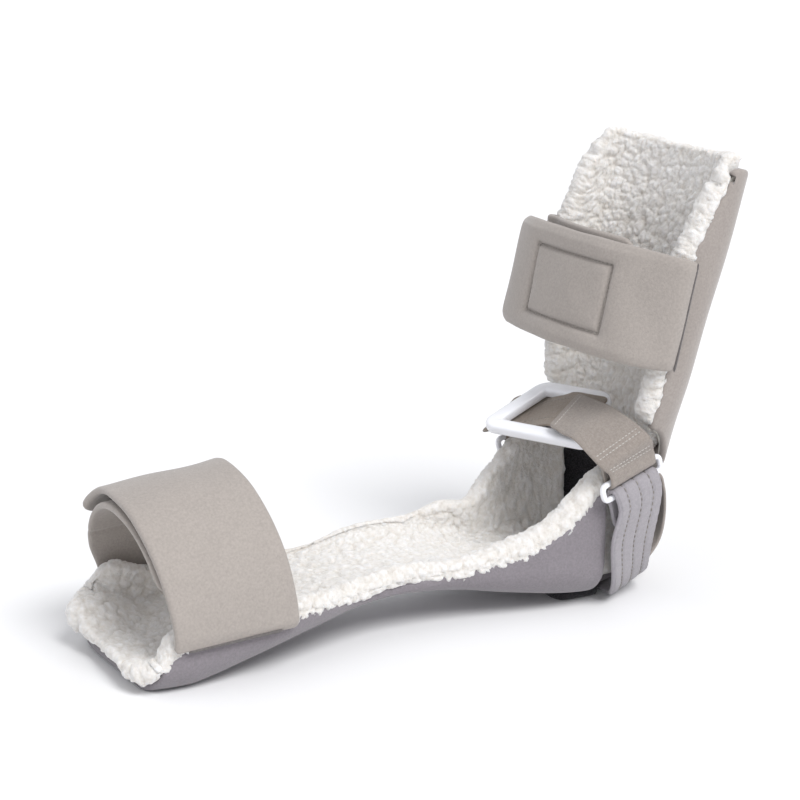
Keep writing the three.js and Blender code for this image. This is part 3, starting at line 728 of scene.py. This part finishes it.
def binding(name, ribbon, s, t0, t1, height, body, radius=0.8):
    """A thin dark piping along a strap's sewn end."""
    t = np.linspace(t0, t1, 60)
    centre = ribbon.lifted(np.full_like(t, s), t, np.full_like(t, height))
    flow = unit(np.gradient(centre, axis=0))
    lift = ribbon.normal(np.full_like(t, s), t)
    side = np.cross(flow, lift)
    turn = np.linspace(0, 2 * math.pi, 8, endpoint=False)
    ring = np.cos(turn)[None, :, None] * side[:, None] + np.sin(turn)[None, :, None] * lift[:, None]
    taper = radius * np.sqrt(np.clip(1 - np.linspace(-1, 1, 60) ** 20, 0.02, 1))
    points = centre[:, None] + ring * taper[:, None, None]
    index = np.arange(60 * 8).reshape(60, 8)
    quads = np.stack([index[:-1], index[1:], np.roll(index[1:], -1, axis=1),
                      np.roll(index[:-1], -1, axis=1)], axis=-1).reshape(-1, 4)
    ends = []
    for loop in (index[0], index[-1][::-1]):
        ends += [[loop[0], loop[k], loop[k + 1], loop[k + 1]] for k in range(1, 7)]
    verts = points.reshape(-1, 3)
    quads = face_out(verts, np.vstack([quads, np.array(ends)]))
    make_piece(name, verts, quads, SEAM, body)


# Calf straps
def calf_stations(height, side, middle):
    rim = calf_rim(height)
    wall = calf_half_width(height) + STRAP / 2 + 1.05
    ahead_y = [(rim - 2, wall), (rim + 2, wall), (rim + 7, wall - 1.5), *middle]
    return [calf_point(height, ahead, side * y) for ahead, y in ahead_y]


calf_front = [(30, 47), (39, 30), (43, 8), (43, -14), (40.5, -36), (36, -54), (29, -68)]
calf_under_front = [(24, 46), (31.5, 31), (36, 12), (37, -8), (35, -24), (31.5, -36)]
calf_ribbon = Ribbon(*(calf_stations(h, 1, calf_front) for h in (49, 109)), out=-1)
calf_under = Ribbon(*(calf_stations(h, -1, calf_under_front) for h in (52, 112)), out=1)
BOX_S0, BOX_S1 = calf_ribbon.length - 101, calf_ribbon.length - 37
BOX_T0, BOX_T1 = -18.5, 18.0


def calf_relief(s, t):
    """The sewn rectangle pulls the padding down, and the padding swells round it."""
    from_box = box_distance(s, t, BOX_S0, BOX_S1, BOX_T0, BOX_T1)
    edge = 30 - np.abs(t)
    within = (s > BOX_S0) & (s < BOX_S1) & (t > BOX_T0) & (t < BOX_T1)
    ring = smooth(s, BOX_S0 - 22, BOX_S0 - 4)
    swell = (1 - np.exp(-from_box / 4.0)) * np.where(within, 1.2, 0.8 + 1.1 * ring)
    swell = swell * smooth(edge, 0, 5)
    return swell + groove(from_box, 1.3, 1.7) - seam_taper(s) \
        + 0.25 * np.sin(s / 9 + t / 13) + 0.18 * np.sin(s / 5 - t / 7)


strap_piece("calf_strap_padded", calf_ribbon, 60, STRAP, STRAP_FABRIC, "calf_closure",
            ["calf_strap"], corners=(0, 8), step=0.7, relief=calf_relief)
strap_piece("calf_under_strap_padded", calf_under, 60, STRAP - 0.6, STRAP_FABRIC, "calf_under",
            ["calf_under_strap"], corners=(0, 8), step=1.2,
            relief=lambda s, t: 0.2 * np.sin(s / 8 + t / 9))
corners = [(BOX_S0, BOX_T0), (BOX_S1, BOX_T0), (BOX_S1, BOX_T1), (BOX_S0, BOX_T1)]
sewn = [stitch_row(calf_ribbon, a, b, STRAP / 2 - 0.75)
        for a, b in zip(corners, corners[1:] + corners[:1])]
sewn += [stitch_row(calf_ribbon, (BOX_S1 - 2.5, BOX_T1 + 2.5), (BOX_S1 + 2.5, BOX_T1 - 2.5),
                    STRAP / 2 + 0.1),
         stitch_row(calf_ribbon, (BOX_S1 - 2.5, BOX_T1 - 2.5), (BOX_S1 + 2.5, BOX_T1 + 2.5),
                    STRAP / 2 + 0.1)]
stitches("calf_strap_stitches", sewn, THREAD, "calf_closure")
binding("calf_strap_binding", calf_ribbon, 1.0, -29.3, 29.3, 0.8, "calf_closure")

# Forefoot straps
TOE_REAR, TOE_FRONT, TOE_TILT, TOE_TAPER = 232, 296, 13, 0.09
TOE_WALL = 49 + STRAP / 2 + 0.35


def arch_point(x, turn, half_width, height):
    return [x + TOE_TILT * abs(math.sin(turn)) ** 0.8, half_width * math.cos(turn),
            28 + (height - TOE_TAPER * (x - TOE_REAR)) * math.sin(turn)]


def toe_seam(x):
    return 25 - 3.5 * (x - TOE_REAR) / (TOE_FRONT - TOE_REAR)


def toe_over(x):
    drop = TOE_TAPER * (x - TOE_REAR)
    arch = [arch_point(x, share * math.pi / 2, TOE_WALL, 64.5) for share in (0, .25, .5, .75, 1)]
    tuck = 10 * (TOE_FRONT - x) / (TOE_FRONT - TOE_REAR)
    arch[0][0] += 0.7 * tuck
    arch[1][0] += 0.1 * tuck
    free = [[x + TOE_TILT - 2, y, z - drop] for y, z in ((-22, 90), (-38, 81), (-50, 70.5))]
    return [[x + tuck, TOE_WALL, toe_seam(x)], *arch, *free]


def toe_below(x):
    shares = (2, 1.75, 1.5, 1.25, 1, 0.75, 0.5, 0.25)
    arch = [arch_point(x, share * math.pi / 2, TOE_WALL if share > 1 else TOE_WALL - 5.5, 58.5)
            for share in shares]
    return [[x + 5, -TOE_WALL, toe_seam(x)], *arch]


toe_ribbon = Ribbon(toe_over(TOE_REAR), toe_over(TOE_FRONT), out=1)
toe_under = Ribbon(toe_below(TOE_REAR), toe_below(TOE_FRONT), out=-1)


def toe_relief(s, t):
    """A soft rolled edge, slow dents over the top, and the seam pulled in at the wall."""
    top = smooth(s, 60, 95)
    return 0.5 * np.sin(t / 8 + 0.6) * top + 0.35 * np.sin(s / 11 + t / 17) \
        - seam_taper(s)


strap_piece("forefoot_strap_padded", toe_ribbon, 66, STRAP + 0.4, STRAP_FABRIC,
            "forefoot_closure", ["forefoot_strap"], corners=(0, 9), step=1.1,
            relief=toe_relief)
strap_piece("forefoot_under_strap_padded", toe_under, 66, STRAP - 0.6, STRAP_FABRIC,
            "forefoot_under", ["forefoot_under_strap"], corners=(0, 8), step=1.2,
            relief=lambda s, t: 0.2 * np.sin(s / 8 + t / 9),
            under=lambda s, t: groove(s - 40, 1.2, 0.8) + 0.3 * np.sin(s / 9 - t / 11))


binding("forefoot_strap_binding", toe_ribbon, 1.0, -25, 25, 0.6, "forefoot_closure")


# ---- rings, stirrup, instep
ring_front, ring_rear = np.array([51.5, 50, 63.5]), np.array([20, 46, 72.8])
ring_middle = (ring_front + ring_rear) / 2
ring_along = unit(ring_rear - ring_front)
ring_up = np.array([0.2, 0, 1])
ring_up = unit(ring_up - ring_along * ring_up.dot(ring_along))
ring_out = unit(np.cross(ring_along, ring_up))
RING_PITCH, BAR = 8.5, 3.0
RING_LENGTH = WEBBING_WIDTH + 12
MIRROR = np.array([1, -1, 1])
upper_bar = ring_middle + ring_up * RING_PITCH


def rounded_path(corners, radius, arc=8):
    """A closed path with each corner rounded; corners and the result are in a plane."""
    corners = np.asarray(corners, float)
    points = []
    for here, before, after in zip(corners, np.roll(corners, 1, axis=0),
                                   np.roll(corners, -1, axis=0)):
        a = here + unit(before - here) * radius
        b = here + unit(after - here) * radius
        for t in np.linspace(0, 1, arc):
            points.append((1 - t) ** 2 * a + 2 * t * (1 - t) * here + t * t * b)
    return np.array(points)


def frame_loop(path, origin, x_axis, y_axis, across, high, power=2.6, sides=20):
    """A closed bar of superellipse section, across by high, that follows a flat path."""
    z_axis = np.cross(x_axis, y_axis)
    flow = unit(np.roll(path, -1, axis=0) - np.roll(path, 1, axis=0))
    beside = np.stack([flow[:, 1], -flow[:, 0]], axis=1)
    turn = np.linspace(0, 2 * math.pi, sides, endpoint=False)
    c, s = np.cos(turn), np.sin(turn)
    wide = np.sign(c) * np.abs(c) ** (2 / power) * across / 2
    tall = np.sign(s) * np.abs(s) ** (2 / power) * high / 2
    flat = path[:, None] + beside[:, None] * wide[None, :, None]
    points = origin + flat[..., :1] * x_axis + flat[..., 1:] * y_axis \
        + tall[None, :, None] * z_axis
    index = np.arange(len(path) * sides).reshape(len(path), sides)
    quads = np.stack([index, np.roll(index, -1, axis=0),
                      np.roll(np.roll(index, -1, axis=0), -1, axis=1),
                      np.roll(index, -1, axis=1)], axis=-1).reshape(-1, 4)
    verts = points.reshape(-1, 3)
    return verts, face_out(verts, quads)


ring_corners = [(x * (RING_LENGTH - BAR) / 2, y * RING_PITCH / 2)
                for x, y in ((1, 1), (-1, 1), (-1, -1), (1, -1))]
ring_path = rounded_path(ring_corners, 3.2)
verts, quads = frame_loop(ring_path, ring_middle + ring_up * RING_PITCH / 2, ring_along, ring_up,
                          BAR, BAR)
make_piece("ring_near_smooth", verts, quads, WHITE, "ring_near",
           ["ankle_ring_near"])
make_piece("ring_far_smooth", verts * MIRROR, quads[:, ::-1], WHITE, "ring_far",
           ["ankle_ring_far"])

QUILT_THICK = 3.0
stirrup_eye = BAR / 2 + 0.35 + QUILT_THICK / 2


STIRRUP_FRONT = [(53, 51.5, 38), (48.5, 47.5, 17), (42, 39.5, 7.2), (35, 29, 2.6), (33, 0, 2.6)]
STIRRUP_REAR = [(16.5, 45.8, 40), (13, 37.5, 24), (10, 30, 14.5), (7.5, 18, 8.2), (6, 0, 7.6)]


def stirrup_edge(share, below):
    bar = ring_middle + ring_along * (share - 0.5) * (RING_LENGTH - 9)
    turned = np.radians([-90, -45, 0, 45, 90])
    round_bar = [bar + ring_up * stirrup_eye * math.cos(a) + ring_out * stirrup_eye * math.sin(a)
                 for a in turned]
    near = [bar - ring_up * 20 - ring_out * stirrup_eye,
            bar - ring_up * 8 - ring_out * stirrup_eye, *round_bar,
            bar - ring_up * 8 + ring_out * (stirrup_eye + 0.2), *map(np.array, below)]
    return [*near, *(p * MIRROR for p in near[-2::-1])]


stirrup = Ribbon(stirrup_edge(0, STIRRUP_FRONT), stirrup_edge(1, STIRRUP_REAR), out=1)
if stirrup.normal(np.array([60.0]), np.array([0.0]))[0][1] < 0:
    stirrup.out = -1
QUILT_ROWS = (-8.5, 0.0, 8.5)


def quilted(s, t):
    """Three sewn rows with the padding swelling between them."""
    rows = sum(groove(t - row, 1.0, 0.65) for row in QUILT_ROWS)
    pucker = 0.14 * np.sin(2 * math.pi * s / 4.4) * np.exp(-np.abs(np.abs(t) % 8.5 - 4.2) / 4)
    return rows + pucker


strap_piece("heel_stirrup_quilted", stirrup, 31, QUILT_THICK, QUILT, "splint",
            ["heel_stirrup"], corners=(2, 2), step=0.75, relief=quilted, weave=True)
sewn = [stitch_row(stirrup, (18, row), (stirrup.length - 18, row), QUILT_THICK / 2 - 0.35,
                   pitch=3.0, length=2.0) for row in QUILT_ROWS]
stitches("heel_stirrup_stitches", sewn, THREAD, "splint")

# Instep slide
slide_centre = np.array([51.0, -3, 96.5])
slide_along = unit([-0.402, 0.915, 0.018])
slide_up = np.array([0.35, 0.135, 0.927])
slide_up = unit(slide_up - slide_along * slide_up.dot(slide_along))
slide_across = np.cross(slide_up, slide_along)
SLIDE_TOE_SIDE, SLIDE_HEEL_SIDE, SLIDE_DEPTH, SLIDE_BAR = 72, 47, 47, 6.5
BAR_WIDTH, BAR_HEIGHT = 8.6, 6.2
inset = SLIDE_BAR / 2 + 0.7
keystone = [(SLIDE_HEEL_SIDE / 2 - inset * 1.1, SLIDE_DEPTH / 2 - inset),
            (-SLIDE_HEEL_SIDE / 2 + inset * 1.1, SLIDE_DEPTH / 2 - inset),
            (-SLIDE_TOE_SIDE / 2 + inset * 1.3, -SLIDE_DEPTH / 2 + inset),
            (SLIDE_TOE_SIDE / 2 - inset * 1.3, -SLIDE_DEPTH / 2 + inset)]
verts, quads = frame_loop(rounded_path(keystone, 5, 12), slide_centre, slide_along,
                          slide_across, BAR_WIDTH, BAR_HEIGHT, power=3.4, sides=32)
make_piece("instep_slide_smooth", verts, quads, WHITE, "slide",
           ["instep_slide"])


# Instep straps
FOLD = 12


def on_slide(run, rise, across=0.0):
    return slide_centre + slide_along * run + slide_up * rise + slide_across * across


def eye_stations(fold):
    eye = BAR / 2 + 0.35 + WEBBING / 2
    turned = np.radians([-90, -45, 0, 45, 90])
    round_bar = [upper_bar - ring_up * eye * math.cos(a) + ring_out * eye * math.sin(a)
                 for a in turned]
    return [upper_bar + ring_up * fold - ring_out * eye,
            upper_bar + ring_up * fold / 2 - ring_out * eye, *round_bar,
            upper_bar + ring_up * fold / 2 + ring_out * eye]


near_stations = [(p, ring_along) for p in eye_stations(FOLD)] + [
    ((46, 53, 89.5), (-0.883, 0.07, 0.461)), ((51.5, 32.5, 99.8), (-0.919, -0.148, 0.369)),
    (on_slide(21, 7.4, -8.5), (-0.87, -0.27, 0.39)), (on_slide(14, 7.2, -6), slide_across),
    (on_slide(8, 6.6, -3.5), slide_across)]
far_stations = [(p * MIRROR, ring_along * MIRROR) for p in eye_stations(FOLD)] + [
    ((52, -48, 86), (-0.8, 0.1, 0.58)), (on_slide(-38, -7.5), slide_across),
    (on_slide(-27, -4.9, 0.8), slide_across), (on_slide(-17, -4.3, 1.8), slide_across),
    (on_slide(-7, -0.5, 1.8), slide_across), (on_slide(3, 2.9, 1.2), slide_across),
    (on_slide(13, 4.1), slide_across), (on_slide(25, 4.2), slide_across)]
near_strap = along_band(near_stations, WEBBING_WIDTH, 1)
far_strap = along_band(far_stations, WEBBING_WIDTH, 1)
for ribbon in (near_strap, far_strap):
    middle = np.array([ribbon.length - 12]), np.array([0.0])
    if ribbon.normal(*middle)[0].dot(slide_up) < 0:
        ribbon.out = -1


def selvedge(s, t):
    """Webbing is a little thicker along its edges."""
    return 0.12 * np.exp(-((np.abs(t) - 14.2) / 0.9) ** 2) + 0.05 * np.sin(s / 3.1)


strap_piece("instep_strap_near_woven", near_strap, WEBBING_WIDTH, WEBBING, WEB, "instep_near",
            ["instep_strap_near"], corners=(1, 3), step=0.8, relief=selvedge,
            weave=True)
strap_piece("instep_strap_far_woven", far_strap, WEBBING_WIDTH, WEBBING, SHADED_WEB,
            "instep_far", ["instep_strap_far"], corners=(1, 3), step=0.8,
            relief=selvedge, weave=True)
fold = 44
sewn = [stitch_row(near_strap, (fold - back, -14), (fold - back, 14), WEBBING / 2 + 0.05, 2.1, 1.5,
                   0.26) for back in (1.5, 4, 13, 16)]
sewn.append(stitch_row(near_strap, (near_strap.length - 4, -14), (near_strap.length - 4, 14),
                       WEBBING / 2 + 0.05, 2.1, 1.5, 0.26))
stitches("instep_near_stitches", sewn, PALE_THREAD, "instep_near")
window = far_strap.length
sewn = [stitch_row(far_strap, (window - 44, row), (window - 4, row), WEBBING / 2 + 0.05, 2.4,
                   1.6, 0.26) for row in (-9, 9)]
stitches("instep_far_stitches", sewn, THREAD, "instep_far")


# ---- heel parts
heel_points = [*(calf_point(h, -calf_depth(h), 0.0) for h in (112, 60, 20, 0, -9)),
               (-7.2, 0, 50), (-7.8, 0, 36), (-4.8, 0, 23), (4, 0, 13), (15, 0, sole_height(15)),
               *((x, 0, sole_height(x)) for x in (45, 75, 100, 125, 150, 175, 200, 225, 240))]
heel_points = np.array([np.ravel(p) for p in heel_points])
sleeve_path = catmull(heel_points, np.linspace(4.2 / 18, 8.6 / 18, 12))
dish = np.array([0, 1.0, 0])
sleeve = Ribbon(sleeve_path - dish * 20, sleeve_path + dish * 20, out=1)
if sleeve.normal(np.array([20.0]), np.array([0.0]))[0][0] > 0:
    sleeve.out = -1


def sleeve_bow(s, t):
    return 0.0 * s + 0.25 * np.sin(s / 4) * (1 - (t / 20) ** 2)


strap_piece("heel_sleeve_soft", sleeve, 40, 1.9, COVER, "splint",
            ["heel_sleeve"], corners=(3, 3), step=1.2, relief=sleeve_bow,
            margin=(0.5, 0.5))


def rounded_pad(name, corners, radius, low, high, look, node):
    """A flat-bottomed pad with a soft rounded rim, drawn as closed rings."""
    path = rounded_path(corners, radius, 7)
    middle = path.mean(axis=0)
    rings = [(0.0, 0.0), (0.55, 0.0), (0.95, 0.0), (0.985, 0.12), (1.0, 0.4), (1.0, 0.75),
             (0.98, 0.95), (0.93, 1.0), (0.5, 1.0), (0.0, 1.0)]
    parts = []
    for share, rise in rings:
        flat = middle + (path - middle) * max(share, 0.01)
        parts.append(np.column_stack([flat, np.full(len(flat), low + (high - low) * rise)]))
    count = len(path)
    index = np.arange(len(rings) * count).reshape(len(rings), count)
    quads = np.stack([index[:-1], np.roll(index[:-1], -1, axis=1),
                      np.roll(index[1:], -1, axis=1), index[1:]], axis=-1).reshape(-1, 4)
    caps = []
    for loop in (index[0][::-1], index[-1]):
        caps += [[loop[0], loop[k], loop[k + 1], loop[k + 1]] for k in range(1, count - 1)]
    verts = np.vstack(parts)
    return make_piece(name, verts, face_out(verts, np.vstack([quads, np.array(caps)])), look,
                      "splint", [node])


rounded_pad("sole_pad_soft", [(64, 25), (36, 25), (36, -25), (64, -25)], 8, 0, 4.7, BLACK,
            "heel_sole_pad")

pad_plan = [(31, 37), (20, 33), (9, 25), (2.8, 13), (0.5, 0), (2.8, -13), (9, -25), (20, -33),
            (31, -37)]
heel_pad = Ribbon([(x, y, 27) for x, y in pad_plan],
                  [(x * 0.82 + 4.5, y, 66) for x, y in pad_plan], out=1)
strap_piece("heel_pad_soft", heel_pad, 39, 3, BLACK, "splint", ["heel_pad"],
            corners=(5, 5), step=1.0, relief=lambda s, t: 0.3 * np.sin(s / 3 + t / 4))


# ---- carried-over solids
for look, nodes in (
        (SHELL_PLASTIC, ("calf_shell", "foot_shell")),
        (METAL, ("spine_stay", "rivet_calf_upper", "rivet_calf_lower", "rivet_foot_rear",
                 "rivet_foot_front")),
        (HOOK, ("calf_hook_strip_near", "calf_hook_strip_far", "foot_hook_strip_near",
                "foot_hook_strip_far", "calf_strap_hook", "forefoot_strap_hook",
                "instep_hook"))):
    for node in nodes:
        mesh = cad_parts[node].data
        mesh.materials.clear()
        mesh.materials.append(look)


# ---- studio
AZIMUTH, ELEVATION, ROLL = math.radians(30.3), math.radians(15.1), math.radians(1.1)
DISTANCE, LENS = 1.116, 98.0
TARGET = Vector((0.0956, 0, 0.1167))
WORLD_LIGHT = 0.68


def add_camera():
    back = Vector((math.sin(AZIMUTH) * math.cos(ELEVATION),
                   math.cos(AZIMUTH) * math.cos(ELEVATION), math.sin(ELEVATION)))
    camera = bpy.data.objects.new("camera", bpy.data.cameras.new("camera"))
    bpy.context.collection.objects.link(camera)
    camera.data.lens = LENS
    camera.data.clip_start = 0.05
    camera.location = TARGET + back * DISTANCE
    turn = back.to_track_quat("Z", "Y").to_matrix().to_4x4()
    camera.rotation_euler = (turn @ Matrix.Rotation(ROLL, 4, "Z")).to_euler()
    bpy.context.scene.camera = camera


def add_sun(name, towards, power, spread, tint=(1, 1, 1)):
    """A sun lamp. towards points at it, and spread, in degrees, is how soft its shadows are."""
    lamp = bpy.data.lights.new(name, "SUN")
    lamp.energy, lamp.angle, lamp.color = power, math.radians(spread), tint
    light = bpy.data.objects.new(name, lamp)
    bpy.context.collection.objects.link(light)
    light.rotation_euler = Vector(towards).to_track_quat("Z", "Y").to_euler()


def add_floor():
    size = 6.0
    mesh = bpy.data.meshes.new("floor")
    mesh.from_pydata([(x * size, y * size, 0.0) for x, y in ((-1, -1), (1, -1), (1, 1), (-1, 1))],
                     [], [(0, 1, 2, 3)])
    n = Nodes("pale_floor")
    n.colour(n.ramp(n.noise(3, 2), [(0.3, (0.86, 0.86, 0.865)), (0.7, (0.88, 0.88, 0.885))]))
    mesh.materials.append(n.finish(Roughness=0.8))
    floor = bpy.data.objects.new("floor", mesh)
    bpy.context.collection.objects.link(floor)


def add_world():
    """Soft light from all round, and a white backdrop where the camera looks past the floor."""
    world = bpy.data.worlds.new("studio")
    world.use_nodes = True
    tree = world.node_tree
    backdrop = tree.nodes["Background"]
    backdrop.inputs["Color"].default_value = (0.96, 0.97, 1, 1)
    seen = tree.nodes.new("ShaderNodeLightPath")
    strength = tree.nodes.new("ShaderNodeMapRange")
    strength.inputs["To Min"].default_value = WORLD_LIGHT
    strength.inputs["To Max"].default_value = 1.0
    tree.links.new(seen.outputs["Is Camera Ray"], strength.inputs["Value"])
    tree.links.new(strength.outputs["Result"], backdrop.inputs["Strength"])
    bpy.context.scene.world = world


add_camera()
add_floor()
add_sun("key", (-0.10, 0.62, 0.78), 2.3, 30)
add_sun("fill", (0.85, 0.1, 0.5), 0.25, 60, (0.92, 0.94, 1))
add_world()
bpy.context.scene.view_settings.view_transform = "Standard"
